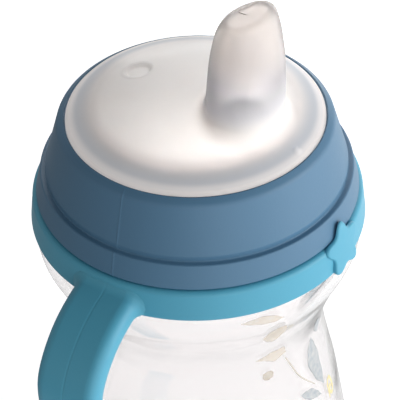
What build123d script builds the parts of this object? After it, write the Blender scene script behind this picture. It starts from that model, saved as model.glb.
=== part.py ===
"""Training cup for a small child: clear bottle, screw collar, soft spout and two-handled ring.

Millimetres. The origin is the middle of the flat the cup stands on, +Z is up, the
handles lie along +X and -X, and the spout and the star on the ring face -Y.
"""
import os
from math import cos, pi, radians, sin

from build123d import *

os.makedirs("parts", exist_ok=True)

# Clearances and walls that several pieces share.
turning_gap = 0.3          # between round faces of different pieces
seat_gap = 0.05            # between flat faces that press together
bottle_wall = 1.3
collar_wall = 1.6
silicone_wall = 1.7

# Sizes that set the whole cup.
step_height = 110.0        # height of the shoulder step that the handle ring sits on
neck_radius = 24.6
belly_radius = 34.0
collar_height = 17.5

# Neck thread.
thread_depth = 1.2
thread_lead = 5.0
thread_foot = 2.4          # axial width of the thread at its root
thread_crest = 1.2
thread_start = 4.2         # height of the first turn above the step
thread_end = 3.2           # plain length of neck above the last turn
thread_start_angle = 75.0
thread_taper_turns = 0.25  # how much shorter the collar's thread is than the neck's

# Screw collar: radii counted from its bore, heights counted from its lower edge.
collar_foot_reach = 6.9
flange_reach, flange_height = 5.6, 5.1
flange_round = 0.5
groove_reach, groove_height = 4.5, 5.5
cone_foot_inset, cone_foot_height = 0.1, 6.4
crease_ring_reach, crease_ring_drop = 1.35, 1.3
lip_reach = 0.2            # top edge of the collar, round the soft disc
lip_thickness = 1.8
lip_overhang = 4.0         # how far the lip reaches in past the neck's outside
sleeve_wall = 1.5
pocket_height = 8.4        # top of the hollow between the sleeve and the outer skin
collar_rim_width = 0.3
collar_rim_height = 1.1    # how far the rim round the disc stands above the lip

# Soft spout.
disc_thickness = 1.3
disc_rim_round = 0.5
dome_rise = 6.1
seal_thickness = 1.6
spout_margin = 1.2         # from the spout's foot to the edge of the plug
spout_height = 28.1        # top of the spout above the disc's rim
spout_half_width = 8.6
spout_half_depth = 7.3
spout_top_half_width = 5.6
spout_top_half_depth = 3.5
spout_top_tilt = 10.0
spout_lean = 0.7           # how far the top stands out past the foot
spout_root_round = 2.4
spout_turn = -4.5          # degrees by which the spout stands off -Y
valve_membrane = 1.3
slit_length = 3.6
slit_width = 0.3
slit_inset = 0.9           # from the middle of the spout's end towards the cup's axis
vent_margin = 1.3
vent_radius = 3.3
vent_wall = 0.9
vent_depth = 1.4           # dimple above the vent's membrane
vent_membrane = 0.8
vent_drop = 1.6            # how far the vent's cup hangs under the dome
mark_radius = 0.75

# Handle ring.
ring_plate = 1.7           # thickness of the flat that the collar clamps
ring_top_reach = 0.7       # past the collar's lower edge
ring_foot_reach = 1.5
ring_drop = 5.0            # how far the skirt hangs below the shoulder step
ring_skirt_wall = 1.7
ring_edge_round = 0.7
handle_width = 14.2
handle_thickness = 5.4
handle_corner = 2.4
handle_end_round = 2.0
handle_root_drop = 4.5     # depth of the handle's root below the collar
handle_root_sink = 1.2     # how far in from the skirt's wall its path starts, before it is trimmed
handle_reach = 13.5        # from the ring's skirt to the middle of the grip
handle_drop = 65.5         # depth of the free end below the collar
handle_end_gap = 4.8       # from the belly to the middle of the free end
star_radius = 6.75
star_drop = 2.4            # depth of the star's centre below the collar's lower edge
star_inner_share = 0.56
star_relief = 0.9          # how far its face stands off the skirt's lower edge
star_round = 1.1
star_gap = 0.15            # between the star's back and the collar that slides past it
star_tip_thickness = 0.4
star_turn = -0.9           # degrees by which the star stands off -Y

# Bottle body: where its outline turns. The upper heights are drops below the step.
base_corner_height = 8.0
base_corner_inset = 0.9
base_inset = 5.5           # how much narrower the foot is than the belly
base_recess = 1.5
base_foot = 4.0            # width of the ring that the bottle stands on
belly_height = 22.0
belly_slope_share = 0.63   # where between belly and waist the flank's middle point lies
waist_inset, waist_drop = 3.2, 32.0
crease_inset, crease_drop = 1.8, 24.5
taper_reach, taper_drop = 0.5, 18.0
shoulder_reach, shoulder_drop = 4.0, 8.5
ring_seat_gap, ring_seat_drop = 0.5, 4.8
step_width = 5.0

# Levels that follow from the sizes above.
ring_top = step_height + ring_plate
ring_foot = step_height - ring_drop
collar_seat = ring_top + turning_gap
collar_top = collar_seat + collar_height
lip_top = collar_top - collar_rim_height
lip_low = lip_top - lip_thickness
seal_top = lip_low - seat_gap
seal_low = seal_top - seal_thickness
neck_top = seal_low - seat_gap
disc_low = lip_top + seat_gap
disc_top = disc_low + disc_thickness
cone_foot = collar_seat + cone_foot_height
crease_ring = collar_top - crease_ring_drop
pocket_top = collar_seat + pocket_height
grip_end = collar_seat - handle_drop
star_tip = collar_seat - star_drop + star_radius

# Radii that follow from the sizes above.
thread_radius = neck_radius + thread_depth
bore_radius = thread_radius + turning_gap
sleeve_radius = bore_radius + sleeve_wall
collar_foot_radius = bore_radius + collar_foot_reach
flange_radius = bore_radius + flange_reach
groove_radius = bore_radius + groove_reach
cone_foot_radius = groove_radius - cone_foot_inset
crease_ring_radius = bore_radius + crease_ring_reach
lip_radius = bore_radius + lip_reach
lip_opening = neck_radius - lip_overhang
cone_slope = (cone_foot_radius - crease_ring_radius) / (crease_ring - cone_foot)
pocket_radius = cone_foot_radius - collar_wall - cone_slope * (pocket_top - cone_foot)
disc_pocket_radius = lip_radius - collar_rim_width
disc_radius = disc_pocket_radius - turning_gap
seal_radius = neck_radius - turning_gap
plug_radius = lip_opening - turning_gap
plug_bore = plug_radius - silicone_wall
ring_top_radius = collar_foot_radius + ring_top_reach
ring_foot_radius = collar_foot_radius + ring_foot_reach
ring_skirt_inner = ring_foot_radius - ring_skirt_wall
grip_radius = ring_foot_radius + handle_reach
star_back_radius = collar_foot_radius + star_gap
step_radius = neck_radius + step_width
shoulder_radius = step_radius + shoulder_reach
ring_seat_radius = ring_skirt_inner - ring_seat_gap
taper_radius = step_radius + taper_reach
crease_radius = step_radius - crease_inset
waist_radius = step_radius - waist_inset
base_radius = belly_radius - base_inset
spout_offset = plug_radius - spout_half_depth - spout_margin
vent_offset = plug_bore - vent_radius - vent_margin
thread_turns = (neck_top - step_height - thread_start - thread_end) / thread_lead


def thread_solid(root_radius, crest_radius, first_height, turns):
    """A helical ridge of trapezoid section from the root radius to the crest radius."""
    rise = crest_radius - root_radius
    sink = -rise / 4
    foot = thread_foot + (thread_foot - thread_crest) / 4
    start = Plane(origin=(root_radius, 0, first_height), x_dir=(1, 0, 0), z_dir=(0, -1, 0))
    with BuildPart(mode=Mode.PRIVATE) as ridge:
        with BuildLine(Plane.XY.offset(first_height)) as spiral:
            Helix(pitch=thread_lead, height=turns * thread_lead, radius=root_radius)
        with BuildSketch(start):
            with BuildLine():
                Polyline(
                    (sink, -foot / 2),
                    (rise, -thread_crest / 2),
                    (rise, thread_crest / 2),
                    (sink, foot / 2),
                    close=True,
                )
            make_face()
        sweep(path=spiral.line, is_frenet=True)
    return ridge.part.rotate(Axis.Z, thread_start_angle)


def bottle_outline(inset, top):
    """Half of the bottle's outline, closed on the axis, every side moved inward by inset."""
    foot_edge = base_radius - base_foot
    waist_height = step_height - waist_drop
    flank_height = belly_height + (waist_height - belly_height) * belly_slope_share
    flank_radius = belly_radius + (waist_radius - belly_radius) * belly_slope_share
    belly = (belly_radius - inset, belly_height)
    waist = (waist_radius - inset, waist_height)
    crease = (crease_radius - inset, step_height - crease_drop)
    shoulder = (shoulder_radius - inset, step_height - shoulder_drop)
    step = (step_radius - inset / 2, step_height - inset)
    with BuildLine(Plane.XZ) as outline:
        floor = Polyline(
            (0, base_recess + inset),
            (foot_edge - base_recess + inset / 2, base_recess + inset),
            (foot_edge + inset / 2, inset),
            (base_radius - inset / 2, inset),
        )
        Spline(
            floor @ 1,
            (belly_radius - inset - base_corner_inset, base_corner_height),
            belly,
            tangents=[(1, 0.12), (0, 1)],
        )
        Spline(
            belly,
            (flank_radius - inset, flank_height),
            waist,
            tangents=[(0, 1), (0, 1)],
        )
        Spline(waist, crease, tangents=[(0, 1), (0.35, 1)])
        Spline(
            crease,
            (taper_radius - inset, step_height - taper_drop),
            shoulder,
            tangents=[(0.35, 1), (0, 1)],
        )
        Spline(
            shoulder,
            (ring_seat_radius - inset, step_height - ring_seat_drop),
            step,
            tangents=[(0, 1), (-0.6, 1)],
        )
        Polyline(
            step,
            (neck_radius - inset, step_height - inset),
            (neck_radius - inset, top),
            (0, top),
            (0, base_recess + inset),
        )
    return outline.line


# Bottle: a thin shell, open at the neck, with a one-start thread outside the neck.
with BuildPart() as bottle:
    with BuildSketch(Plane.XZ):
        add(bottle_outline(0, neck_top))
        make_face()
    revolve(axis=Axis.Z)
    with BuildSketch(Plane.XZ):
        add(bottle_outline(bottle_wall, neck_top + bottle_wall))
        make_face()
    revolve(axis=Axis.Z, mode=Mode.SUBTRACT)
    add(thread_solid(neck_radius, thread_radius, step_height + thread_start, thread_turns))
bottle.part.label = "bottle"
export_step(bottle.part, "parts/bottle.step")

# Screw collar: a conical skin over a threaded sleeve, with an inward lip that holds the soft disc.
with BuildPart() as collar:
    with BuildSketch(Plane.XZ):
        with BuildLine():
            Polyline(
                (collar_foot_radius, collar_seat),
                (flange_radius, collar_seat + flange_height),
                (groove_radius, collar_seat + flange_height),
                (groove_radius, collar_seat + groove_height),
                (cone_foot_radius, cone_foot),
                (crease_ring_radius, crease_ring),
                (lip_radius, collar_top),
                (disc_pocket_radius, collar_top),
                (disc_pocket_radius, lip_top),
                (lip_opening, lip_top),
                (lip_opening, lip_low),
                (bore_radius, lip_low),
                (bore_radius, collar_seat),
                (sleeve_radius, collar_seat),
                (sleeve_radius, pocket_top),
                (pocket_radius, pocket_top),
                (cone_foot_radius - collar_wall, cone_foot),
                (flange_radius - collar_wall, collar_seat + flange_height - collar_wall),
                (collar_foot_radius - collar_wall, collar_seat),
                close=True,
            )
        make_face()
    revolve(axis=Axis.Z)
    add(
        thread_solid(
            bore_radius,
            bore_radius - thread_depth,
            step_height + thread_start + thread_lead / 2,
            thread_turns - thread_taper_turns,
        )
    )
    flange_edge = (
        collar.edges()
        .filter_by(GeomType.CIRCLE)
        .filter_by(lambda edge: abs(edge.radius - flange_radius) < 0.01)
    )
    fillet(flange_edge, flange_round)
collar.part.label = "collar"
export_step(collar.part, "parts/collar.step")

# Soft spout: one silicone moulding. A domed disc lies on the collar's lip, a groove holds the
# lip, the flange below it seals on the bottle's rim, and the hollow spout stands near the front.
dome_radius = (disc_radius**2 + dome_rise**2) / (2 * dome_rise)
dome_centre = disc_top + dome_rise - dome_radius
inner_dome_radius = dome_radius - silicone_wall


def dome_level(sphere_radius, distance):
    """Height of a sphere round the dome's centre at this distance from the Z axis."""
    return dome_centre + (sphere_radius**2 - distance**2) ** 0.5


def spout_solid(inset, low, top_inset):
    """The spout's tapered body, every side moved inward by inset, from the height low up."""
    body_shares = [(0.0, 1.0, 1.0), (0.4, 0.99, 0.98), (0.72, 0.85, 0.91), (0.92, 0.77, 0.67)]
    tilt = radians(spout_top_tilt)
    with BuildPart(mode=Mode.PRIVATE) as body:
        for rise, width_share, depth_share in body_shares:
            level = max(low, disc_top + rise * (spout_height - top_inset))
            centre = (0, -spout_offset - spout_lean * rise, level)
            with BuildSketch(Plane(origin=centre, x_dir=(1, 0, 0))):
                Ellipse(spout_half_width * width_share - inset, spout_half_depth * depth_share - inset)
        centre = (0, -spout_offset - spout_lean, disc_top + spout_height - top_inset)
        with BuildSketch(Plane(origin=centre, x_dir=(1, 0, 0), z_dir=(0, sin(tilt), cos(tilt)))):
            Ellipse(spout_top_half_width - inset * 0.7, spout_top_half_depth - inset * 0.7)
        loft()
    return body.part


vent_top = dome_level(dome_radius, vent_offset + vent_radius)
vent_low = dome_level(inner_dome_radius, vent_offset + vent_radius) - vent_drop
vent_floor = vent_top - vent_depth
below_seal = seal_low - seal_thickness
with BuildPart() as spout:
    with BuildSketch(Plane.XZ):
        with BuildLine():
            Line((0, disc_low), (0, disc_top + dome_rise))
            RadiusArc((0, disc_top + dome_rise), (disc_radius, disc_top), dome_radius)
            Polyline((disc_radius, disc_top), (disc_radius, disc_low), (0, disc_low))
        make_face()
        with Locations((plug_radius / 2, (seal_low + disc_low) / 2)):
            Rectangle(plug_radius, disc_low - seal_low)
        with Locations((seal_radius / 2, (seal_low + seal_top) / 2)):
            Rectangle(seal_radius, seal_thickness)
    revolve(axis=Axis.Z)
    rim = (
        spout.edges()
        .filter_by(GeomType.CIRCLE)
        .filter_by(lambda edge: abs(edge.radius - disc_radius) < 0.01)
        .sort_by(Axis.Z)[-1]
    )
    fillet(rim, disc_rim_round)
    add(spout_solid(0, disc_low, 0))
    root = (
        spout.edges()
        .filter_by(lambda edge: edge.bounding_box().min.Z > disc_top + dome_rise / 4)
        .filter_by(lambda edge: edge.bounding_box().max.Z < disc_top + dome_rise * 1.1)
    )
    fillet(root, spout_root_round)
    # The hollow under the dome and up inside the spout.
    with BuildSketch(Plane.XZ):
        with BuildLine():
            Line((0, below_seal), (0, dome_level(inner_dome_radius, 0)))
            RadiusArc(
                (0, dome_level(inner_dome_radius, 0)),
                (plug_bore, dome_level(inner_dome_radius, plug_bore)),
                inner_dome_radius,
            )
            Polyline(
                (plug_bore, dome_level(inner_dome_radius, plug_bore)),
                (plug_bore, below_seal),
                (0, below_seal),
            )
        make_face()
    revolve(axis=Axis.Z, mode=Mode.SUBTRACT)
    add(spout_solid(silicone_wall, disc_low, valve_membrane), mode=Mode.SUBTRACT)
    # The slit through the membrane at the spout's end.
    with Locations((0, slit_inset - spout_offset - spout_lean, disc_top + spout_height)):
        Box(slit_width, slit_length, 4 * valve_membrane, mode=Mode.SUBTRACT)
    # The air vent: a dimple above, a small cup hanging below, and a thin slit membrane between.
    with Locations((0, vent_offset, vent_low)):
        Cylinder(vent_radius, vent_top - vent_low, align=(Align.CENTER, Align.CENTER, Align.MIN))
    with Locations((0, vent_offset, vent_floor)):
        Cylinder(
            vent_radius - vent_wall,
            4 * vent_depth,
            align=(Align.CENTER, Align.CENTER, Align.MIN),
            mode=Mode.SUBTRACT,
        )
    with Locations((0, vent_offset, vent_floor - vent_membrane)):
        Cylinder(
            vent_radius - vent_wall,
            vent_floor - vent_low,
            align=(Align.CENTER, Align.CENTER, Align.MAX),
            mode=Mode.SUBTRACT,
        )
    with Locations((0, vent_offset, vent_floor)):
        Box(vent_radius, slit_width, 4 * vent_membrane, mode=Mode.SUBTRACT)
    with Locations((0, mark_radius * 2 - disc_radius, disc_top)):
        Sphere(mark_radius)
spout.part = spout.part.rotate(Axis.Z, spout_turn)
spout.part.label = "spout"
export_step(spout.part, "parts/spout.step")

# One handle: a flat strap that leaves the ring's skirt, bows outward and hangs free beside the cup.
with BuildPart() as handle:
    with BuildLine(Plane.XZ) as grip_path:
        Spline(
            (ring_skirt_inner - handle_root_sink, collar_seat - handle_root_drop),
            (grip_radius - 7.0, collar_seat - handle_root_drop - 4.8),
            (grip_radius - 0.8, collar_seat - handle_root_drop - 13.0),
            (grip_radius, collar_seat - handle_root_drop - 22.5),
            (grip_radius - 2.5, grip_end + 17.5),
            (belly_radius + handle_end_gap, grip_end),
            tangents=[(1, -0.3), (-0.75, -0.66)],
        )
    with BuildSketch(Plane(origin=grip_path.line @ 0, x_dir=(0, 1, 0), z_dir=grip_path.line % 0)):
        RectangleRounded(handle_width, handle_thickness, handle_corner)
    sweep(path=grip_path.line)
    free_end = handle.faces().sort_by_distance(grip_path.line @ 1)[0]
    fillet(free_end.edges(), handle_end_round)
    # The root ends inside the skirt's wall, clear of the bottle.
    Cylinder(ring_skirt_inner + ring_skirt_wall / 3, 4 * step_height, mode=Mode.SUBTRACT)

# The star on the front of the ring, its face and its back curved round the cup's axis.
star_points = [
    (
        star_radius * (1 - (k % 2) * (1 - star_inner_share)) * sin(k * pi / 5),
        star_radius * (1 - (k % 2) * (1 - star_inner_share)) * cos(k * pi / 5),
    )
    for k in range(10)
]
with BuildPart() as star:
    with BuildSketch(Plane(origin=(0, 0, collar_seat - star_drop), x_dir=(1, 0, 0), z_dir=(0, -1, 0))):
        with BuildLine():
            Polyline(*star_points, close=True)
        make_face()
        fillet(vertices(), star_round)
    extrude(amount=2 * ring_foot_radius)
    with BuildSketch(Plane.XZ):
        with BuildLine():
            Polyline(
                (star_back_radius, ring_foot),
                (ring_foot_radius + star_relief, ring_foot),
                (star_back_radius + star_tip_thickness, star_tip),
                (star_back_radius, star_tip),
                close=True,
            )
        make_face()
    revolve(axis=Axis.Z, mode=Mode.INTERSECT)

# Handle ring: a flat plate under the collar, a short skirt, two open handles and the raised star.
with BuildPart() as handle_ring:
    with BuildSketch(Plane.XZ):
        with BuildLine():
            Polyline(
                (bore_radius, ring_top),
                (bore_radius, step_height),
                (ring_skirt_inner, step_height),
                (ring_skirt_inner, ring_foot),
                (ring_foot_radius, ring_foot),
                (ring_top_radius, ring_top),
                close=True,
            )
        make_face()
    revolve(axis=Axis.Z)
    ring_edge = (
        handle_ring.edges()
        .filter_by(GeomType.CIRCLE)
        .filter_by(lambda edge: abs(edge.radius - ring_top_radius) < 0.01)
    )
    fillet(ring_edge, ring_edge_round)
    add(handle.part)
    add(handle.part.mirror(Plane.YZ))
    add(star.part.rotate(Axis.Z, star_turn))
handle_ring.part.label = "handle_ring"
export_step(handle_ring.part, "parts/handle_ring.step")
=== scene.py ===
"""A small child's training cup in soft studio light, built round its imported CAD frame.

The sections follow the cup as it is put together: bottle, print, handle ring, screw collar,
soft spout, then the floor, lights and camera. Shapes are worked out in millimetres and
written to the meshes in metres, in the frame's own axes: +Z up, spout towards -Y.
"""

import bmesh
import bpy
import numpy as np
from mathutils import Matrix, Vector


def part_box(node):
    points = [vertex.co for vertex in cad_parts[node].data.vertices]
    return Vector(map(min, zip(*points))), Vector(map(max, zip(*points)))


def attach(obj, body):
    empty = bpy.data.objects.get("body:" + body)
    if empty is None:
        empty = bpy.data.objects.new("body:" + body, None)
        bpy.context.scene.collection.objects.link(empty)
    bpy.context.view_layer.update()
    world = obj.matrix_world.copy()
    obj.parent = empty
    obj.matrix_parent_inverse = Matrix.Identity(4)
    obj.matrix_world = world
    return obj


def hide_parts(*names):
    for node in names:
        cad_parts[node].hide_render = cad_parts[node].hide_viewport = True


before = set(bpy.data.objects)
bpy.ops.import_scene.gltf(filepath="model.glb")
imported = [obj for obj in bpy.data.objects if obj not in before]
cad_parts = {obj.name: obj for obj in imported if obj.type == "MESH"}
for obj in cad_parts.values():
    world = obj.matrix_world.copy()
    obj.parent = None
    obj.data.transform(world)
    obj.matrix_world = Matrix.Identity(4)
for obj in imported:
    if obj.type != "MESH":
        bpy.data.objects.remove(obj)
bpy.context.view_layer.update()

# ---------------------------------------------------------------------------------------------
# Bottle. Clarified polypropylene, blow-moulded in one go: a thin wall with a wide belly, a
# narrow waist for small hands, a round shoulder, and a threaded neck that the lid screws onto.
# ---------------------------------------------------------------------------------------------
bottle_high = 1000 * np.array(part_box("bottle")[1])
collar_low, collar_high = (1000 * np.array(corner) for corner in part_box("collar"))
neck_top = bottle_high[2]
belly_radius = bottle_high[0]
seat = collar_low[2]                # height of the collar's lower edge, which the rest hangs from
step = seat - 2.0                   # shoulder step that carries the handle ring
neck_radius = 24.6
shoulder_radius = 29.6              # where the step turns down into the shoulder
wall = 1.3
foot_radius = belly_radius - 5.5
foot_width = 4.0
foot_recess = 1.5
belly_height = 22.0
corner_power = 2.4                  # 2 is an ellipse, more is squarer
wall_heights = np.array([belly_height, 57.3, step - 32, step - 24.5, step - 18, step - 8.5, step - 4.8])
wall_radii = np.array([belly_radius, 30.0, 26.4, 27.8, 30.1, 33.6, 32.3])
wall_slopes = np.array([0.0, -0.17, 0.0, 0.3, 0.37, 0.0, -0.6])


def smooth_through(knots, values, slopes, at):
    """Cubic Hermite curve: between two knots, the two values and the two slopes are blended
    by the four cubic weights of t, the share of the way from one knot to the next."""
    k = np.clip(np.searchsorted(knots, at, side="right") - 1, 0, len(knots) - 2)
    span = knots[k + 1] - knots[k]
    t = (at - knots[k]) / span
    start = (1 + 2 * t) * (1 - t) ** 2 * values[k] + t * (1 - t) ** 2 * span * slopes[k]
    end = t**2 * (3 - 2 * t) * values[k + 1] - t**2 * (1 - t) * span * slopes[k + 1]
    return start + end


def wall_radius(height):
    """Outside radius of the bottle's wall at a height between the belly and the ring."""
    return smooth_through(wall_heights, wall_radii, wall_slopes, height)


def rounded(corners, steps=6, hold=0.12):
    """Chain of straight runs through corners (r, z, radius), each corner cut by an arc that
    touches both runs at radius / tan(half its angle). A point just past each arc keeps the
    runs flat when the shading is smoothed."""
    spots = np.array([corner[:2] for corner in corners], float)
    chain = [spots[:1]]
    for before, here, after, corner in zip(spots, spots[1:], spots[2:], corners[1:-1]):
        back = (before - here) / np.linalg.norm(before - here)
        onward = (after - here) / np.linalg.norm(after - here)
        half = np.arccos(np.clip(back @ onward, -1, 1)) / 2
        reach = corner[2] / np.tan(half)
        middle = (back + onward) / np.linalg.norm(back + onward)
        centre = here + middle * corner[2] / np.sin(half)
        first, last = here + back * reach - centre, here + onward * reach - centre
        turn = np.pi - 2 * half
        share = np.linspace(0, 1, steps + 1)[:, None]
        arc = (np.sin((1 - share) * turn) * first + np.sin(share * turn) * last) / np.sin(turn)
        chain += [centre + first + back * hold, centre + arc, centre + last + onward * hold]
    return np.vstack([*chain, spots[-1:]])


def turned(profile, angles):
    """Surface of revolution: the profile's points (r, z) carried round the Z axis."""
    r, z = profile[:, :1], profile[:, 1:]
    return np.stack([r * np.cos(angles), r * np.sin(angles), z + 0 * angles], axis=-1)


def make_piece(name, grids):
    """One mesh from several grids of points (rows, columns, xyz) in millimetres. Columns close
    on themselves; rows do too where the grid says so. Points that fall together are merged."""
    points, faces, first = [], [], 0
    for grid, rows_close in grids:
        rows, columns = grid.shape[:2]
        index = first + np.arange(rows * columns).reshape(rows, columns)
        index = np.hstack([index, index[:, :1]])
        if rows_close:
            index = np.vstack([index, index[:1]])
        quads = np.stack([index[:-1, :-1], index[:-1, 1:], index[1:, 1:], index[1:, :-1]], axis=-1)
        points.append(grid.reshape(-1, 3))
        faces.append(quads.reshape(-1, 4))
        first += rows * columns
    mesh = bpy.data.meshes.new(name)
    mesh.from_pydata((np.vstack(points) / 1000).tolist(), [], np.vstack(faces).tolist())
    work = bmesh.new()
    work.from_mesh(mesh)
    bmesh.ops.remove_doubles(work, verts=work.verts, dist=2e-7)
    bmesh.ops.recalc_face_normals(work, faces=work.faces)
    work.to_mesh(mesh)
    work.free()
    mesh.shade_smooth()
    piece = bpy.data.objects.new(name, mesh)
    bpy.context.scene.collection.objects.link(piece)
    return piece


def bottle_skin(inset):
    """Wall outline from the foot to just under the ring, moved inward by inset. The lower
    corner is a superellipse quarter: sine and cosine raised to 2 / corner_power."""
    edge = foot_radius - foot_width
    foot = rounded(
        [
            (0, foot_recess + inset, 0),
            (edge - foot_recess + inset / 2, foot_recess + inset, 0.8),
            (edge + inset / 2, inset, 0.8),
            (foot_radius - inset / 2, inset, 0),
        ]
    )
    turn = np.linspace(0.03, np.pi / 2, 26)[:, None]
    corner = np.hstack(
        [
            foot_radius - inset + (belly_radius - foot_radius) * np.sin(turn) ** (2 / corner_power),
            inset + (belly_height - inset) * (1 - np.cos(turn) ** (2 / corner_power)),
        ]
    )
    height = np.linspace(belly_height, wall_heights[-1], 100)[1:]
    return np.vstack([foot, corner, np.stack([wall_radius(height) - inset, height], axis=-1)])


outer, inner = bottle_skin(0), bottle_skin(wall)
neck = rounded(
    [
        (*outer[-1], 0),
        (shoulder_radius, step, 1.2),
        (neck_radius, step, 0.5),
        (neck_radius, neck_top, 0.5),
        (neck_radius - wall, neck_top, 0.5),
        (neck_radius - wall, step - wall, 1.2),
        (shoulder_radius - wall / 2, step - wall, 0.6),
        (*inner[-1], 0),
    ]
)
around = np.linspace(0, 2 * np.pi, 240, endpoint=False)

# The thread outside the neck: one start, 5 mm a turn, its two ends running out into the neck.
thread_depth, thread_lead, thread_foot, thread_crest = 1.2, 5.0, 2.4, 1.2
thread_low, thread_start = step + 4.2, np.radians(75)


def thread_ridge(root_radius, depth, low, turns, start_angle):
    """A trapezoid carried along a helix. Its height swells from nothing and sinks back over
    the first and last 25 degrees, by a smooth step."""
    along = np.linspace(0, turns * 2 * np.pi, int(turns * 180))
    ends = np.clip(np.minimum(along, along[-1] - along) / np.radians(25), 0, 1)
    swell = (ends**2 * (3 - 2 * ends))[:, None]
    section = rounded(
        [
            (-0.3, -thread_foot / 2, 0),
            (0.0, -thread_foot / 2, 0.2),
            (1.0, -thread_crest / 2, 0.25),
            (1.0, thread_crest / 2, 0.25),
            (0.0, thread_foot / 2, 0.2),
            (-0.3, thread_foot / 2, 0),
        ],
        steps=4,
        hold=0.02,
    )
    radius = root_radius + depth * (section[:, 0] * swell - 0.35 * (1 - swell))
    angle = (start_angle + along)[:, None]
    height = low + thread_lead * along[:, None] / (2 * np.pi) + section[:, 1]
    ridge = np.stack([radius * np.cos(angle), radius * np.sin(angle), height], axis=-1)
    tip = np.repeat(ridge[[0, -1]].mean(axis=1, keepdims=True), ridge.shape[1], axis=1)
    return np.concatenate([tip[:1], ridge, tip[1:]])


bottle = make_piece(
    "bottle_shell",
    [
        (turned(np.vstack([outer[:-1], neck, inner[-2::-1]]), around), False),
        (thread_ridge(neck_radius, thread_depth, thread_low, 1.5, thread_start), False),
    ],
)


def linear(hex_colour, alpha=1.0):
    """sRGB hex to linear RGBA: each channel / 12.92 below 0.04045, else ((c + 0.055) / 1.055) ^ 2.4."""
    c = np.array([int(hex_colour[k : k + 2], 16) for k in (1, 3, 5)]) / 255
    return (*np.where(c <= 0.04045, c / 12.92, ((c + 0.055) / 1.055) ** 2.4).tolist(), alpha)


def add(tree, kind, inputs=(), **settings):
    """Adds a node. Each input is a (socket, value) pair: an output socket is linked, a value set."""
    node = tree.nodes.new(kind)
    for setting, value in settings.items():
        setattr(node, setting, value)
    for socket, value in inputs:
        if isinstance(value, bpy.types.NodeSocket):
            tree.links.new(value, node.inputs[socket])
        else:
            node.inputs[socket].default_value = value
    return node


# Clarified polypropylene, blown against a polished mould: clear, glossy, with the slight long
# waviness of blown plastic, which bends the highlights a little.
clear_plastic = bpy.data.materials.new("clarified_polypropylene")
clear_plastic.use_nodes = True
tree = clear_plastic.node_tree
tree.nodes.clear()
place = add(tree, "ShaderNodeTexCoord")
wave = add(
    tree,
    "ShaderNodeTexNoise",
    [("Vector", place.outputs["Object"]), ("Scale", 1 / 0.014), ("Detail", 1.0)],
)
waviness = add(
    tree,
    "ShaderNodeBump",
    [("Height", wave.outputs["Fac"]), ("Strength", 0.25), ("Distance", 0.0004)],
)
haze = add(
    tree,
    "ShaderNodeMapRange",
    [("Value", wave.outputs["Fac"]), ("To Min", 0.03), ("To Max", 0.09)],
)
shader = add(
    tree,
    "ShaderNodeBsdfPrincipled",
    [
        ("Base Color", linear("#F7F5F5")),
        ("Transmission Weight", 1.0),
        ("IOR", 1.45),
        ("Roughness", haze.outputs["Result"]),
        ("Normal", waviness.outputs["Normal"]),
    ],
)
add(tree, "ShaderNodeOutputMaterial", [("Surface", shader.outputs["BSDF"])])
bottle.data.materials.append(clear_plastic)
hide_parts("bottle")
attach(bottle, "bottle")

# ---------------------------------------------------------------------------------------------
# Print on the bottle. Thin, matt, slightly see-through ink laid on the outside of the wall by
# transfer: sprigs of leaves, seed heads and a curl, in cream, grey-blue and yellow.
# ---------------------------------------------------------------------------------------------
ink_lift, ink_thickness = 0.06, 0.03


def stroke(azimuth, height, path, half_widths):
    """One printed shape. Its middle line runs through the points (sideways, up) in millimetres
    round a spot on the wall, its half width goes through half_widths by a cosine blend, and its
    section is a flat lens: width times cosine across, thickness times sine outward."""
    t = np.linspace(0, 1, 34)
    knots = np.linspace(0, 1, len(path))
    path = np.array(path, float)
    slopes = np.gradient(path, knots, axis=0)
    middle = np.stack([smooth_through(knots, path[:, k], slopes[:, k], t) for k in (0, 1)], axis=-1)
    forward = np.gradient(middle, t, axis=0)
    forward /= np.linalg.norm(forward, axis=1, keepdims=True)
    width_knots = np.linspace(0, 1, len(half_widths))
    half_widths = np.array(half_widths, float)
    half = smooth_through(width_knots, half_widths, 0 * half_widths, t)[:, None]
    lens = np.linspace(0, 2 * np.pi, 12, endpoint=False)
    sideways = middle[:, :1] - forward[:, 1:] * half * np.cos(lens)
    up = middle[:, 1:] + forward[:, :1] * half * np.cos(lens)
    level = height + up
    radius = wall_radius(level) + ink_lift + ink_thickness * np.sin(lens) * np.minimum(half / 0.3, 1)
    angle = np.radians(azimuth) + sideways / wall_radius(np.array(height))
    return np.stack([radius * np.cos(angle), radius * np.sin(angle), level], axis=-1)


def ink(name, colour, alpha):
    """Matt transfer ink: the colour mottled by a fine stipple of 0.8 mm, partly see-through."""
    material = bpy.data.materials.new(name)
    material.use_nodes = True
    tree = material.node_tree
    tree.nodes.clear()
    place = add(tree, "ShaderNodeTexCoord")
    stipple = add(
        tree,
        "ShaderNodeTexNoise",
        [("Vector", place.outputs["Object"]), ("Scale", 1 / 0.0008), ("Detail", 2.0)],
    )
    tint = add(
        tree,
        "ShaderNodeMix",
        [
            ("Factor", stipple.outputs["Fac"]),
            ("A", linear(colour)),
            ("B", linear("#F2EEE6")),
        ],
        data_type="RGBA",
    )
    shader = add(
        tree,
        "ShaderNodeBsdfPrincipled",
        [("Base Color", tint.outputs["Result"]), ("Roughness", 0.6), ("Alpha", alpha)],
    )
    add(tree, "ShaderNodeOutputMaterial", [("Surface", shader.outputs["BSDF"])])
    return material


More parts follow.
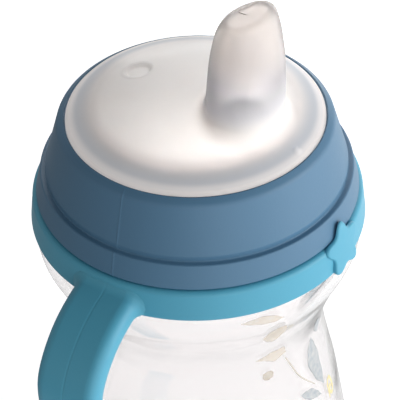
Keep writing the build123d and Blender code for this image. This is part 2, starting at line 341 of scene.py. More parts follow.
cream = [
    stroke(-115, 83.5, [(-4.6, 1.2), (-1, 0.9), (3.2, -0.6)], [0.1, 0.8, 1.7, 2.3, 0.2]),
    stroke(-126.5, 101.6, [(-4.6, 0.8), (0, 0.4), (4.6, -0.6)], [0.1, 0.6, 1.0, 0.9, 0.1]),
    stroke(-119.5, 94.0, [(-2.8, 0.2), (0, 0.4), (2.5, 0.2)], [0.4, 2.6, 3.2, 2.9, 0.9]),
]
beige = [
    stroke(-117, 77.8, [(-1.3, 0.9), (0, 0), (1.3, -0.9)], [0.1, 1.1, 1.3, 1.1, 0.1]),
    stroke(-102, 74.5, [(-2.6, 6.2), (-0.6, 2.2), (1.8, -2.6), (6.0, -8.0)], [0.12, 0.16, 0.16, 0.16, 0.1]),
]
dusk = [
    stroke(-85.5, 71.5, [(-1.2, 7.8), (-0.4, 1.0), (1.6, -7.6)], [0.2, 1.6, 2.4, 1.8, 0.3]),
    stroke(-83, 81.0, [(-1.4, 3.2), (0, 0), (1.6, -3.2)], [0.1, 1.0, 1.3, 0.9, 0.1]),
    stroke(-93, 65.2, [(-3.4, 2.0), (0, 0), (3.4, -2.6)], [0.1, 0.9, 1.3, 0.8, 0.1]),
]
curl_turn = np.linspace(0, 3.2 * np.pi, 9)
curl_path = np.stack(
    [0.32 * curl_turn**0.7 * np.cos(curl_turn), 0.42 * curl_turn**0.9 * np.sin(curl_turn)],
    axis=-1,
)
yellow = [stroke(-77, 60.5, curl_path, [0.2, 0.4, 0.4, 0.4, 0.2])]
for name, shapes, colour, alpha in [
    ("print_cream", cream, "#F0DCC0", 0.4),
    ("print_beige", beige, "#C0AC8A", 0.5),
    ("print_grey_blue", dusk, "#93A9BC", 0.65),
    ("print_yellow", yellow, "#EFD62F", 1.0),
]:
    printed = make_piece(name, [(shape, False) for shape in shapes])
    printed.data.materials.append(ink(name + "_ink", colour, alpha))
    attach(printed, "bottle")

# ---------------------------------------------------------------------------------------------
# Handle ring. Teal polypropylene, injection-moulded in one piece: a flat plate that the collar
# clamps onto the shoulder, a short skirt, two open handles that hang free, and a raised star.
# ---------------------------------------------------------------------------------------------
bore = neck_radius + thread_depth + 0.3
ring_foot_radius = collar_high[0] + 1.5
ring_top_radius = collar_high[0] + 0.7
ring_top = seat - 0.3
ring_foot = step - 5.0
skirt = 1.7
skirt_profile = rounded(
    [
        (bore + 3, ring_top, 0),
        (bore, ring_top, 0.3),
        (bore, step, 0.3),
        (ring_foot_radius - skirt, step, 0.4),
        (ring_foot_radius - skirt, ring_foot, 0.4),
        (ring_foot_radius, ring_foot, 0.7),
        (ring_top_radius, ring_top, 1.1),
        (bore + 3, ring_top, 0),
    ],
    steps=7,
)[:-1]

# One handle: a strap of rounded section swept along a bow, flared where it joins the skirt,
# with a hair-fine groove along the middle of its outer face. The bow's points are (distance
# from the cup's axis, height).
strap_half_width, strap_half_thickness, strap_round = 6.95, 2.7, 2.4
grip = ring_foot_radius + 13.5
bow = np.array(
    [
        (ring_foot_radius - skirt + 0.57, seat - 5.2),
        (grip - 6.1, seat - 9.2),
        (grip - 0.1, seat - 17.2),
        (grip - 0.1, seat - 27.0),
        (grip - 2.5, seat - 48.0),
        (belly_radius + 4.8, seat - 65.5),
    ]
)
flare_side, flare_top = 1.7, 1.4
strap_groove = 0.06
root_depth = 0.4                    # how deep the strap's first row sits in the skirt
end_round = 2.0


def strap(side):
    """The section carried along the bow, shrinking by a quarter circle at the free end. Near the
    skirt each point moves sideways and up by R - sqrt(R^2 - (R - c)^2), where c is how far it
    stands off the skirt, so that the handle runs into the skirt by a fillet of radius R. The
    sideways part of it fades out across the skirt's lower edge."""
    gaps = np.linalg.norm(np.diff(bow, axis=0), axis=1)
    knots = np.concatenate([[0], np.cumsum(gaps)])
    slopes = np.gradient(bow, knots, axis=0)
    slopes[0] = np.array([1, -0.3]) / np.hypot(1, 0.3)
    slopes[-1] = np.array([-0.75, -0.66]) / np.hypot(0.75, 0.66)
    turn = np.linspace(0, np.pi / 2, 9)[1:]
    at = np.concatenate(
        [
            np.linspace(0, 6, 49),
            np.linspace(6.6, knots[-1] - end_round, 80),
            knots[-1] - end_round + end_round * np.sin(turn),
        ]
    )
    inset = np.concatenate([np.zeros(len(at) - 8), end_round * (1 - np.cos(turn))])[:, None]
    line = np.stack([smooth_through(knots, bow[:, k], slopes[:, k], at) for k in (0, 1)], axis=-1)
    forward = np.gradient(line, at, axis=0)
    forward /= np.linalg.norm(forward, axis=1, keepdims=True)
    outward = np.stack([-forward[:, 1], forward[:, 0]], axis=-1)
    w, h, r = strap_half_width, strap_half_thickness, strap_round
    section = rounded(
        [
            (0, h - strap_groove, 0),
            (0.3, h, 0.2),
            (w, h, r),
            (w, -h, r),
            (-w, -h, r),
            (-w, h, r),
            (-0.3, h, 0.2),
            (0, h - strap_groove, 0),
        ]
    )[:-1]
    across = section[:, 0] * (1 - inset / w)
    thick = section[:, 1] * (1 - inset / h)
    x = line[:, :1] + outward[:, :1] * thick
    z = line[:, 1:] + outward[:, 1:] * thick
    slope = (ring_foot_radius - ring_top_radius) / (ring_top - ring_foot)
    out = np.hypot(x, across)
    clearance = out - ring_foot_radius + slope * (z - ring_foot)
    lead = -root_depth + (clearance[:1] + root_depth) * np.linspace(0, 1, 12, endpoint=False)[:, None]
    out = np.vstack([out[:1] - clearance[:1] + lead, out])
    z = np.vstack([z[:1] + 0 * lead, z])
    across = np.vstack([across[:1] + 0 * lead, across])
    clearance = np.clip(np.vstack([lead, clearance]), 0, None)
    corner = np.array([w - r, h - r])
    normal = np.sign(section) * np.clip(np.abs(section) - corner, 0, None) / r
    spread = flare_side - np.sqrt(flare_side**2 - np.clip(flare_side - clearance, 0, None) ** 2)
    spread *= np.clip((z - ring_foot + 0.8) / 1.6, 0, 1)
    lift = flare_top - np.sqrt(flare_top**2 - np.clip(flare_top - clearance, 0, None) ** 2)
    lift *= np.clip(normal[:, 1], 0, 1)
    angle = np.arcsin(across / out) + spread * normal[:, 0] / out
    out = out - slope * lift
    return np.stack([side * out * np.cos(angle), out * np.sin(angle), z + lift], axis=-1)


# The star stands proud of the skirt and covers the collar's edge: soft points, flat face.
star_radius, star_inner, star_turn = 5.75, 3.9, -0.9
star_middle = seat - 2.4
star_back = collar_high[0] + 0.15
star_edge, star_relief, star_slope = 0.5, 0.9, 0.2


def star_slab():
    """A cushion-edged slab in polar rings. Its outline is r(a) = inner + (outer - inner) *
    c(a)^1.25 with c a raised cosine of five lobes, and its face and back bend round the cup."""
    a = np.linspace(0, 2 * np.pi, 160, endpoint=False)
    lobes = (0.5 + 0.5 * np.cos(5 * a)) ** 1.25
    outline = star_inner + (star_radius - star_inner) * lobes
    edge = np.linspace(0, np.pi / 2, 8)
    shares = np.concatenate([np.linspace(0, 0.8, 7), [0.86], [0.88]])[:, None]
    inset = star_edge * (1 - np.sin(edge))[:, None]
    rows = np.vstack([shares * (outline - star_edge), outline - inset, outline, 0 * outline])
    drop = np.concatenate([np.zeros(9), star_edge * (1 - np.cos(edge)), [1.0], [1.0]])[:, None]
    on_back = np.concatenate([np.zeros(17), [1], [1]])[:, None]
    sideways, up = rows * np.sin(a), rows * np.cos(a)
    height = star_middle + up
    face = ring_foot_radius + star_relief - (height - ring_foot) * star_slope
    radius = np.where(on_back > 0, star_back, face - drop)
    angle = np.radians(-90 + star_turn) + sideways / star_back
    return np.stack([radius * np.cos(angle), radius * np.sin(angle), height], axis=-1)


handle_ring = make_piece(
    "handle_ring_moulding",
    [(turned(skirt_profile, around), True), (strap(1), False), (strap(-1), False), (star_slab(), False)],
)


def moulded_plastic(name, colour, shade, grain, roughness):
    """Satin injection-moulded polypropylene: the pigment drifts a little over some 18 mm between
    two near shades, and a spark-eroded mould leaves a fine grain that breaks up the gloss."""
    material = bpy.data.materials.new(name)
    material.use_nodes = True
    tree = material.node_tree
    tree.nodes.clear()
    place = add(tree, "ShaderNodeTexCoord")
    drift = add(
        tree,
        "ShaderNodeTexNoise",
        [("Vector", place.outputs["Object"]), ("Scale", 1 / 0.018), ("Detail", 2.0)],
    )
    tint = add(
        tree,
        "ShaderNodeMix",
        [("Factor", drift.outputs["Fac"]), ("A", linear(colour)), ("B", linear(shade))],
        data_type="RGBA",
    )
    fine = add(
        tree,
        "ShaderNodeTexNoise",
        [("Vector", place.outputs["Object"]), ("Scale", 1 / grain), ("Detail", 3.0)],
    )
    relief = add(
        tree,
        "ShaderNodeBump",
        [("Height", fine.outputs["Fac"]), ("Strength", 0.12), ("Distance", 0.00015)],
    )
    gloss = add(
        tree,
        "ShaderNodeMapRange",
        [("Value", fine.outputs["Fac"]), ("To Min", roughness - 0.05), ("To Max", roughness + 0.05)],
    )
    shader = add(
        tree,
        "ShaderNodeBsdfPrincipled",
        [
            ("Base Color", tint.outputs["Result"]),
            ("Roughness", gloss.outputs["Result"]),
            ("IOR", 1.49),
            ("Subsurface Weight", 0.08),
            ("Subsurface Radius", (0.4, 0.6, 0.8)),
            ("Subsurface Scale", 0.002),
            ("Normal", relief.outputs["Normal"]),
        ],
    )
    add(tree, "ShaderNodeOutputMaterial", [("Surface", shader.outputs["BSDF"])])
    return material


teal_plastic = moulded_plastic("teal_polypropylene", "#59B1CE", "#55ACC9", 0.0006, 0.42)
handle_ring.data.materials.append(teal_plastic)
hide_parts("handle_ring")
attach(handle_ring, "handle_ring")

# ---------------------------------------------------------------------------------------------
# Screw collar. Slate-blue polypropylene, injection-moulded: a lower flange, a narrow sunk band,
# a cone up to a soft crease, a lip that grips the silicone, and a threaded sleeve inside.
# ---------------------------------------------------------------------------------------------
collar_top = collar_high[2]
lip_top = collar_top - 1.1
lip_low = lip_top - 1.8
lip_opening = neck_radius - 4.0
sleeve = 1.5
skin = 1.6
collar_profile = rounded(
    [
        (bore + 6.0, seat, 0),
        (bore + 6.9, seat, 0.3),
        (bore + 5.65, seat + 5.2, 0.35),
        (bore + 4.35, seat + 5.1, 0.3),
        (bore + 4.45, seat + 6.4, 0.3),
        (bore + 1.55, seat + 16.5, 1.9),
        (bore + 0.2, collar_top, 0.3),
        (bore - 0.1, collar_top, 0.12),
        (bore - 0.1, lip_top, 0.15),
        (lip_opening, lip_top, 0.4),
        (lip_opening, lip_low, 0.4),
        (bore, lip_low, 0.5),
        (bore, seat, 0.3),
        (bore + sleeve, seat, 0.3),
        (bore + sleeve, seat + 8.4, 0.6),
        (bore + 4.4 - skin - 0.63, seat + 8.4, 0.4),
        (bore + 4.4 - skin, seat + 6.4, 0.5),
        (bore + 5.6 - skin, seat + 5.1 - skin, 0.5),
        (bore + 6.9 - skin, seat, 0.2),
        (bore + 6.0, seat, 0),
    ],
    steps=6,
)[:-1]

# The mould's parting line: a raised hair on the outside, beside the handle on the -X side.
seam_azimuth, seam_height, seam_width = np.radians(-178.6), 0.07, 0.16
seam_steps = np.radians(np.array([-1.6, -0.8, -0.45, -0.25, -0.1, 0, 0.1, 0.25, 0.45, 0.8, 1.6]))
collar_angles = np.sort(np.concatenate([around, (seam_azimuth + seam_steps) % (2 * np.pi)]))


def with_seam(profile, angles):
    """The turned profile with its outside raised by height * exp(-(arc / width)^2) at the seam."""
    arc = (angles - seam_azimuth + np.pi) % (2 * np.pi) - np.pi
    bump = seam_height * np.exp(-((arc * 30 / seam_width) ** 2))
    outside = np.clip((profile[:, :1] - (bore + 0.15)) / 0.3, 0, 1) * (profile[:, 1:] > seat + 0.3)
    surface = turned(profile, angles)
    surface[:, :, 0] += outside * bump * np.cos(angles)
    surface[:, :, 1] += outside * bump * np.sin(angles)
    return surface


collar_thread = thread_ridge(bore, -thread_depth, thread_low + thread_lead / 2, 1.25, thread_start)
collar = make_piece(
    "screw_collar",
    [(with_seam(collar_profile, collar_angles), True), (collar_thread, False)],
)
slate_plastic = moulded_plastic("slate_polypropylene", "#5983A3", "#557F9E", 0.0006, 0.45)
collar.data.materials.append(slate_plastic)
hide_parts("collar")
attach(collar, "collar")

# ---------------------------------------------------------------------------------------------
# Soft spout. Liquid silicone rubber, injection-moulded in one piece: a domed disc, a flat oval
# drinking spout with a slit, an air vent behind it, and a groove that buttons over the lip.
# ---------------------------------------------------------------------------------------------
silicone = 1.7
disc_low = lip_top + 0.05
disc_top = disc_low + 1.3
disc_radius = bore - 0.2
dome_rise = 6.1
dome_radius = (disc_radius**2 + dome_rise**2) / (2 * dome_rise)
dome_centre = disc_top + dome_rise - dome_radius
seal_low, seal_top = neck_top + 0.05, lip_low - 0.05
plug = lip_opening - 0.3
plug_bore = plug - silicone
spout_turn = np.radians(-4.5)
spout_offset = plug - 7.3 - 1.2
spout_height, spout_lean, root_round = 28.1, 1.2, 2.6
rise_knots = np.array([0, 0.4, 0.72, 0.92, 1.0])
half_widths = 8.6 * np.array([1.0, 0.99, 0.86, 0.79, 0.72])
half_depths = 7.3 * np.array([1.0, 0.98, 0.91, 0.7, 0.54])
tip_tilt = np.tan(np.radians(10))
tip_edge, hollow_edge, tip_wall, tip_dish = 1.3, 0.8, 1.3, 0.25
rim_round = 0.5
vent_offset, vent_radius, vent_depth = plug_bore - 3.3 - 1.3, 2.4, 0.8

# Columns run round the spout's axis, closer together towards the vent at the back.
column = np.linspace(-np.pi, np.pi, 320, endpoint=False)
column = np.pi / 2 + column - 0.72 * np.sin(column)
ray = np.stack([np.cos(column), np.sin(column)], axis=-1)


def dome(inset, x, y):
    """Height of the dome's sphere, or of one that lies inset deeper, over the point (x, y)."""
    return dome_centre + np.sqrt((dome_radius - inset) ** 2 - x**2 - y**2)


def spout_ring(level, inset, shrink=0.0):
    """The spout's oval at a level above the disc: half width and half depth go smoothly through
    their values at five heights. The oval moves forward in step with its height, and over the
    last fifth it tilts until its front edge is up by the tangent of 10 degrees."""
    rise = np.clip(level / spout_height, 0, 1)
    wide = smooth_through(rise_knots, half_widths, np.gradient(half_widths, rise_knots), rise) - inset
    deep = smooth_through(rise_knots, half_depths, np.gradient(half_depths, rise_knots), rise) - inset
    wide, deep = wide - shrink, deep - shrink
    oval = 1 / np.sqrt((ray[:, 0] / wide) ** 2 + (ray[:, 1] / deep) ** 2)
    lean = np.clip((rise - 0.8) / 0.2, 0, 1) ** 2
    x, y = oval * ray[:, 0], oval * ray[:, 1]
    z = disc_top + level - y * tip_tilt * lean
    return np.stack([x, y - spout_offset - spout_lean * rise, z], axis=-1)


def on_circle(radius, height):
    """Where rays from the spout's axis meet a circle round the cup's axis: the root of
    |centre + k * ray| = radius."""
    along = spout_offset * ray[:, 1] + np.sqrt(radius**2 - (spout_offset * ray[:, 0]) ** 2)
    x, y = along * ray[:, 0], along * ray[:, 1] - spout_offset
    return np.stack([x, y, height + 0 * x], axis=-1)


def tip_rows(inset, edge):
    """The tip from its middle outward: shrunken ovals, dished outside by (1 - share^2)^2, then a
    quarter circle over the edge."""
    top = spout_height - (0 if inset == 0 else tip_wall)
    middle = spout_ring(top, inset, 0).mean(axis=0)
    face = spout_ring(top, inset, edge)
    shares = np.array([0, 0.2, 0.4, 0.55, 0.7, 0.82, 0.92])[:, None, None]
    dish = -tip_dish * (1 - shares**2) ** 2 * (inset == 0)
    rows = [*(middle + (face - middle) * shares + dish * np.array([0, 0, 1]))]
    for turn in np.linspace(0, np.pi / 2, 7):
        rows.append(spout_ring(top - edge * (1 - np.cos(turn)), inset, edge * (1 - np.sin(turn))))
    return rows


outside = tip_rows(0, tip_edge)
outside += [spout_ring(level, 0) for level in np.linspace(spout_height - 1.9, root_round + 5.4, 34)]

# The side meets the dome by a fillet, and the dome runs on to the disc's rim.
foot = spout_ring(0, 0)
side_end = dome(0, foot[:, 0], foot[:, 1]) + root_round
upper = outside[-1]
for share in (0.33, 0.66):
    row = upper + (foot - upper) * share
    row[:, 2] = upper[:, 2] + (side_end - upper[:, 2]) * share
    outside.append(row)
rim = on_circle(disc_radius - rim_round, disc_top)
span = np.linalg.norm(rim[:, :2] - foot[:, :2], axis=1)
fillet = root_round * (1 - np.cos(np.linspace(0, np.pi / 2, 10)))
for d in fillet[:-1]:
    row = foot + (rim - foot) * (d / span)[:, None]
    row[:, 2] = dome(0, row[:, 0], row[:, 1]) + root_round - np.sqrt(root_round**2 - (root_round - d) ** 2)
    outside.append(row)
for share in np.linspace(0, 1, 92):
    row = foot + (rim - foot) * (root_round / span + (1 - root_round / span) * share)[:, None]
    row[:, 2] = dome(0, row[:, 0], row[:, 1])
    outside.append(row)

# The vent's dimple sinks from the dome, with a thin raised lip round it.
top_surface = np.array(outside)
from_vent = np.hypot(top_surface[:, :, 0], top_surface[:, :, 1] - vent_offset)
inside_vent = np.clip((vent_radius + 0.25 - from_vent) / 0.5, 0, 1)
inside_vent = inside_vent**2 * (3 - 2 * inside_vent)
top_surface[:, :, 2] -= vent_depth * inside_vent
top_surface[:, :, 2] += 0.1 * np.exp(-(((from_vent - vent_radius - 0.65) / 0.35) ** 2))

# A small raised dot near the disc's edge marks where the spout points.
mark_offset, mark_radius = 1.9 - bore, 0.75
from_mark = np.hypot(top_surface[:, :, 0], top_surface[:, :, 1] - mark_offset)
top_surface[:, :, 2] += 0.35 * np.exp(-((from_mark / mark_radius) ** 4))

# Under the rim: its rounded edge, the groove that holds the collar's lip, the seal on the neck.
edge_turn = np.linspace(0.2, np.pi / 2, 6)
under = [
    on_circle(
        disc_radius - rim_round + rim_round * np.sin(turn),
        dome(0, disc_radius, 0) - rim_round * (1 - np.cos(turn)),
    )
    for turn in edge_turn
]
for radius, height in rounded(
    [
        (disc_radius, disc_top - 0.6, 0),
        (disc_radius, disc_low, 0.3),
        (plug, disc_low, 0.3),
        (plug, seal_top, 0.3),
        (neck_radius - 0.3, seal_top, 0.3),
        (neck_radius - 0.3, seal_low, 0.3),
        (plug_bore, seal_low, 0.4),
        (plug_bore, seal_top + 1, 0),
    ],
    steps=4,
):
    under.append(on_circle(radius, height))

# Inside: the underside of the dome, one wall thickness in, then up into the hollow spout.
bore_edge = on_circle(plug_bore, 0)
hollow_foot = spout_ring(0, silicone)
hollow = [bore_edge + (hollow_foot - bore_edge) * share for share in np.linspace(0, 1, 24)]
for row in hollow:
    row[:, 2] = dome(silicone, row[:, 0], row[:, 1])
climb = [spout_ring(level, silicone) for level in np.linspace(root_round + 3.6, spout_height - 2.4, 26)]
inner_tip = tip_rows(silicone, hollow_edge)[::-1]
spout_grid = np.concatenate([top_surface, np.array(under), np.array(hollow + climb + inner_tip)])


def about_z(angle):
    """A turn about the Z axis: x goes to x cos - y sin, and y to x sin + y cos."""
    cos, sin = np.cos(angle), np.sin(angle)
    return np.array([[cos, -sin, 0], [sin, cos, 0], [0, 0, 1]])


spin = about_z(spout_turn)
spout = make_piece("soft_spout", [(spout_grid @ spin.T, False)])

# Liquid silicone rubber from a blasted mould: milky, see-through only as blur, with a velvety
# surface that has no sharp highlight and a faint cloudiness in its depth. The tint goes by the
# distance from the axis, with a painted bluish-grey shade where the collar's lip lies under it,
# and by the height, with a faint painted bluish shade partway up the spout.
soft = bpy.data.materials.new("frosted_silicone_rubber")
soft.use_nodes = True
tree = soft.node_tree
tree.nodes.clear()
place = add(tree, "ShaderNodeTexCoord")
cloud = add(
    tree,
    "ShaderNodeTexNoise",
    [("Vector", place.outputs["Object"]), ("Scale", 1 / 0.012), ("Detail", 2.0)],
)
milk = add(
    tree,
    "ShaderNodeMix",
    [("Factor", cloud.outputs["Fac"]), ("A", linear("#EFEBE8")), ("B", linear("#F6F2F0"))],
    data_type="RGBA",
)
grit = add(
    tree,
    "ShaderNodeTexNoise",
    [("Vector", place.outputs["Object"]), ("Scale", 1 / 0.0004), ("Detail", 2.0)],
)
frost = add(
    tree,
    "ShaderNodeBump",
    [("Height", grit.outputs["Fac"]), ("Strength", 0.1), ("Distance", 0.0001)],
)
on_plan = add(
    tree,
    "ShaderNodeVectorMath",
    [(0, place.outputs["Object"]), (1, (1, 1, 0))],
    operation="MULTIPLY",
)
from_axis = add(tree, "ShaderNodeVectorMath", [(0, on_plan.outputs["Vector"])], operation="LENGTH")
across = add(
    tree,
    "ShaderNodeMapRange",
    [("Value", from_axis.outputs["Value"]), ("From Min", 0.018), ("From Max", 0.026)],
)
# Painted shade: a bluish-grey band where the collar's lip lies under the disc, darkest some 23.6 mm off the
# axis.
painted_lip_shade = add(tree, "ShaderNodeValToRGB", [("Fac", across.outputs["Result"])])
painted_lip_shade.color_ramp.interpolation = "EASE"
painted_lip_shade.color_ramp.elements[0].color = linear("#FFFFFF")
painted_lip_shade.color_ramp.elements[1].position = 0.95
painted_lip_shade.color_ramp.elements[1].color = linear("#FBF6F4")
painted_lip_shade.color_ramp.elements.new(0.3).color = linear("#F6F6F7")
painted_lip_shade.color_ramp.elements.new(0.7).color = linear("#C5CFDA")
painted_lip_shade.color_ramp.elements.new(0.86).color = linear("#EDEEF1")
milk_with_painted_lip_shade = add(
    tree,
    "ShaderNodeMix",
    [("Factor", 1.0), ("A", milk.outputs["Result"]), ("B", painted_lip_shade.outputs["Color"])],
    data_type="RGBA",
    blend_type="MULTIPLY",
)
heights = add(tree, "ShaderNodeSeparateXYZ", [("Vector", place.outputs["Object"])])
up_spout = add(
    tree,
    "ShaderNodeMapRange",
    [
        ("Value", heights.outputs["Z"]),
        ("From Min", disc_top / 1000),
        ("From Max", (disc_top + spout_height) / 1000),
    ],
)
# Painted shade: a faint bluish grey some 10 to 14 mm above the disc, for the darker see-through of the
# spout.
painted_spout_shade = add(tree, "ShaderNodeValToRGB", [("Fac", up_spout.outputs["Result"])])
painted_spout_shade.color_ramp.interpolation = "EASE"
painted_spout_shade.color_ramp.elements[0].position = 0.2
painted_spout_shade.color_ramp.elements[0].color = linear("#FFFFFF")
painted_spout_shade.color_ramp.elements[1].position = 0.75
painted_spout_shade.color_ramp.elements[1].color = linear("#FFFDFC")
painted_spout_shade.color_ramp.elements.new(0.36).color = linear("#E8EBF1")
painted_spout_shade.color_ramp.elements.new(0.5).color = linear("#EBEDF2")
milk_with_painted_shades = add(
    tree,
    "ShaderNodeMix",
    [("Factor", 1.0), ("A", milk_with_painted_lip_shade.outputs["Result"]), ("B", painted_spout_shade.outputs["Color"])],
    data_type="RGBA",
    blend_type="MULTIPLY",
)

# The spout lets more and more light through from 7 to 17 mm above the disc's rim. The disc,
# which has the collar's lip and the seal behind it, lets little through.
clearness = add(
    tree,
    "ShaderNodeMapRange",
    [
        ("Value", heights.outputs["Z"]),
        ("From Min", (disc_top + 7.0) / 1000),
        ("From Max", (disc_top + 17.0) / 1000),
        ("To Min", 0.12),
        ("To Max", 0.68),
    ],
    interpolation_type="SMOOTHSTEP",
)

# Painted light: a faint emission glow near the rim that grows from 18 mm off the axis outward,
# standing in for light carried inside the rubber.
painted_rim_glow = add(
    tree,
    "ShaderNodeMapRange",
    [
        ("Value", from_axis.outputs["Value"]),
        ("From Min", 0.018),
        ("From Max", 0.0255),
        ("To Max", 0.22),
    ],
)
shader = add(
    tree,
    "ShaderNodeBsdfPrincipled",
    [
        ("Base Color", milk_with_painted_shades.outputs["Result"]),
        ("Transmission Weight", clearness.outputs["Result"]),
        ("Roughness", 0.24),
        ("IOR", 1.17),
        ("Subsurface Weight", 0.9),
        ("Subsurface Radius", (1.0, 0.97, 0.95)),
        ("Subsurface Scale", 0.004),
        # Painted light: the rim's glow, given as emission.
        ("Emission Color", linear("#FFF8F4")),
        ("Emission Strength", painted_rim_glow.outputs["Result"]),
        ("Normal", frost.outputs["Normal"]),
    ],
)
add(tree, "ShaderNodeOutputMaterial", [("Surface", shader.outputs["BSDF"])])
spout.data.materials.append(soft)
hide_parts("spout")
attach(spout, "spout")

# The slit in the spout's end: a cut with its lips closed, drawn as a thin dark strip that is a painted
# shadow line.
slit_length, slit_half_width, slit_inset, slit_sink = 3.6, 0.1, 0.7, 0.03
dish_reach = 2.6
share = np.linspace(-1, 1, 15)[:, None]
lens = np.linspace(0, 2 * np.pi, 10, endpoint=False)
slit_y = slit_inset - spout_offset - spout_lean + 0.5 * slit_length * share
along_face = slit_inset + 0.5 * slit_length * share
dish = tip_dish * (1 - (along_face / dish_reach) ** 2) ** 2
slit_level = disc_top + spout_height - along_face * tip_tilt - dish - slit_sink
closing = np.sqrt(1 - share**2) * slit_half_width
slit_grid = np.stack(
    [closing * np.cos(lens), slit_y + 0 * lens, slit_level + closing * np.sin(lens)],
    axis=-1,
)
slit = make_piece("spout_slit_shadow", [(slit_grid @ spin.T, False)])

# Painted shadow: a matt warm grey for the inside of the slit, where the light doesn't reach.
shadow = bpy.data.materials.new("painted_slit_shadow")
shadow.use_nodes = True
shadow_shader = shadow.node_tree.nodes["Principled BSDF"]
shadow_shader.inputs["Base Color"].default_value = linear("#7E7876")
shadow_shader.inputs["Roughness"].default_value = 0.7
slit.data.materials.append(shadow)
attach(slit, "spout")

# ---------------------------------------------------------------------------------------------
# Studio. A white paper floor, large soft lights low on the right and behind, a weak one in
# front, a small one that stands for the light inside the bottle, and a long lens that looks
# down on the lid.
# ---------------------------------------------------------------------------------------------
camera_turn = np.radians(-57.6)     # azimuth of the camera's right-hand side
floor_mesh = bpy.data.meshes.new("floor")
floor_mesh.from_pydata([(-4, -4, 0), (4, -4, 0), (4, 4, 0), (-4, 4, 0)], [], [(0, 1, 2, 3)])
floor = bpy.data.objects.new("floor", floor_mesh)
bpy.context.scene.collection.objects.link(floor)

# White backdrop paper. Seen directly or through the clear bottle it is bright and even. To all
# other rays it is a dimmer sheet that brightens to the right, as beside a window.
paper = bpy.data.materials.new("white_paper_floor")
paper.use_nodes = True
tree = paper.node_tree
tree.nodes.clear()
path = add(tree, "ShaderNodeLightPath")
direct = add(
    tree,
    "ShaderNodeMath",
    [(0, path.outputs["Is Camera Ray"]), (1, path.outputs["Is Transmission Ray"])],
    operation="MAXIMUM",
)
place = add(tree, "ShaderNodeTexCoord")
rightward = add(
    tree,
    "ShaderNodeVectorMath",
    [(0, place.outputs["Object"]), (1, (np.cos(camera_turn), np.sin(camera_turn), 0))],
    operation="DOT_PRODUCT",
)
grade = add(
    tree,
    "ShaderNodeMapRange",
    [
        ("Value", rightward.outputs["Value"]),
        ("From Min", -0.15),
        ("From Max", 0.25),
        ("To Min", 0.22),
        ("To Max", 1.3),
    ],
)
dim = add(tree, "ShaderNodeEmission", [("Color", (1, 1, 1, 1)), ("Strength", grade.outputs["Result"])])
white = add(tree, "ShaderNodeBsdfDiffuse", [("Color", (0.85, 0.85, 0.85, 1))])
glow = add(tree, "ShaderNodeEmission", [("Color", (1, 1, 1, 1)), ("Strength", 0.6)])
lit = add(tree, "ShaderNodeAddShader", [(0, white.outputs[0]), (1, glow.outputs[0])])
seen = add(
    tree,
    "ShaderNodeMixShader",
    [("Fac", direct.outputs[0]), (1, dim.outputs[0]), (2, lit.outputs[0])],
)
add(tree, "ShaderNodeOutputMaterial", [("Surface", seen.outputs[0])])
floor_mesh.materials.append(paper)


def studio_point(azimuth, elevation, distance):
    """A point round the lid, its azimuth counted from the camera's right-hand side."""
    a, e = np.radians(azimuth) + camera_turn, np.radians(elevation)
    away = np.array([np.cos(a) * np.cos(e), np.sin(a) * np.cos(e), np.sin(e)])
    return away * distance + [0, 0, seat / 1000]


def put(thing, axes, spot):
    """Puts an object at a spot, with the three columns of axes as its own X, Y and Z."""
    rows = [(*row, along) for row, along in zip(axes.tolist(), spot.tolist())]
    thing.matrix_world = Matrix([*rows, (0, 0, 0, 1)])


def softbox(name, azimuth, elevation, distance, size, power):
    """A square area light that faces the lid."""
    data = bpy.data.lights.new(name, "AREA")
    data.size, data.energy = size, power
    lamp = bpy.data.objects.new(name, data)
    bpy.context.scene.collection.objects.link(lamp)
    spot = studio_point(azimuth, elevation, distance)
    z = spot - studio_point(0, 0, 0)
    z /= np.linalg.norm(z)
    x = np.cross([0, 0, 1], z)
    x /= np.linalg.norm(x)
    put(lamp, np.stack([x, np.cross(z, x), z], axis=1), spot)


softbox("key_light", -14, 12, 0.8, 0.7, 4.2)
softbox("fill_light", -72, 14, 0.9, 0.8, 1.6)
softbox("back_light", 80, 20, 0.9, 0.8, 4.5)

# The light that bright surroundings throw up through the clear bottle into the hollow lid: a
# small upward lamp in the neck that is itself never seen.
inner_data = bpy.data.lights.new("light_through_bottle", "AREA")
inner_data.shape = "DISK"
inner_data.size, inner_data.energy = 0.018, 0.013
inner = bpy.data.objects.new("light_through_bottle", inner_data)
bpy.context.scene.collection.objects.link(inner)
inner.location = (-0.0075, -0.0075, (step + 5) / 1000)
inner.rotation_euler = (np.pi, 0, 0)
inner.visible_camera = False
inner.visible_transmission = False
inner.visible_glossy = False

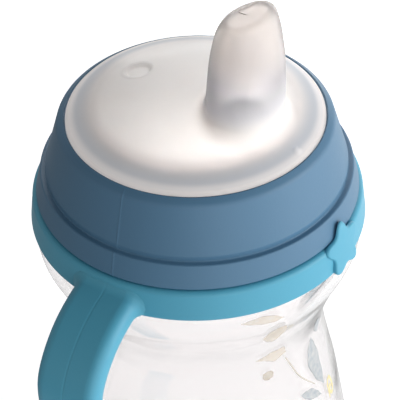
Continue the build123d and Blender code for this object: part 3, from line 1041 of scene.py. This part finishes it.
# The room: plain white seen directly or through the bottle. To all other rays it is grey,
# darker upward and lighter to the right, which gives the round shapes their shading.
world = bpy.data.worlds.new("studio")
world.use_nodes = True
tree = world.node_tree
tree.nodes.clear()
toward = add(tree, "ShaderNodeTexCoord")
heights = add(tree, "ShaderNodeSeparateXYZ", [("Vector", toward.outputs["Generated"])])
walls = add(
    tree,
    "ShaderNodeMapRange",
    [("Value", heights.outputs["Z"]), ("From Max", 0.8), ("To Min", 0.5), ("To Max", 0.1)],
)
rightward = add(
    tree,
    "ShaderNodeVectorMath",
    [(0, toward.outputs["Generated"]), (1, (np.cos(camera_turn), np.sin(camera_turn), 0))],
    operation="DOT_PRODUCT",
)
to_window = add(
    tree,
    "ShaderNodeMapRange",
    [("Value", rightward.outputs["Value"]), ("From Min", -1.0), ("To Min", 0.95), ("To Max", 1.45)],
)
surround = add(
    tree,
    "ShaderNodeMath",
    [(0, walls.outputs["Result"]), (1, to_window.outputs["Result"])],
    operation="MULTIPLY",
)
path = add(tree, "ShaderNodeLightPath")
clear_view = add(
    tree,
    "ShaderNodeMath",
    [(0, path.outputs["Is Camera Ray"]), (1, path.outputs["Is Transmission Ray"])],
    operation="MAXIMUM",
)
shade = add(
    tree,
    "ShaderNodeMix",
    [("Factor", clear_view.outputs[0]), ("A", surround.outputs["Value"]), ("B", 0.97)],
)
sky = add(tree, "ShaderNodeBackground", [("Color", (1, 1, 1, 1)), ("Strength", shade.outputs["Result"])])
add(tree, "ShaderNodeOutputWorld", [("Surface", sky.outputs["Background"])])
bpy.context.scene.world = world
bpy.context.scene.view_settings.view_transform = "Standard"

# The camera: 162 mm lens on a 36 mm sensor, 368 mm from the middle of the collar's foot.
tilt, roll = 0.7036, 0.0283
camera_distance, camera_aside, camera_lift = 367.76, 0.403, -4.087
ahead = np.array([0, np.cos(tilt), -np.sin(tilt)])
right = np.array([1.0, 0, 0])
up = np.cross(right, ahead)
spot = -camera_distance * ahead + camera_aside * right + camera_lift * up
basis = np.stack(
    [np.cos(roll) * right - np.sin(roll) * up, np.sin(roll) * right + np.cos(roll) * up, -ahead],
    axis=1,
)
swing = about_z(camera_turn)
basis = swing @ basis
spot = (swing @ spot + [0, 0, seat]) / 1000
camera_data = bpy.data.cameras.new("camera")
camera_data.lens, camera_data.sensor_width = 162, 36
camera = bpy.data.objects.new("camera", camera_data)
bpy.context.scene.collection.objects.link(camera)
put(camera, basis, spot)
bpy.context.scene.camera = camera
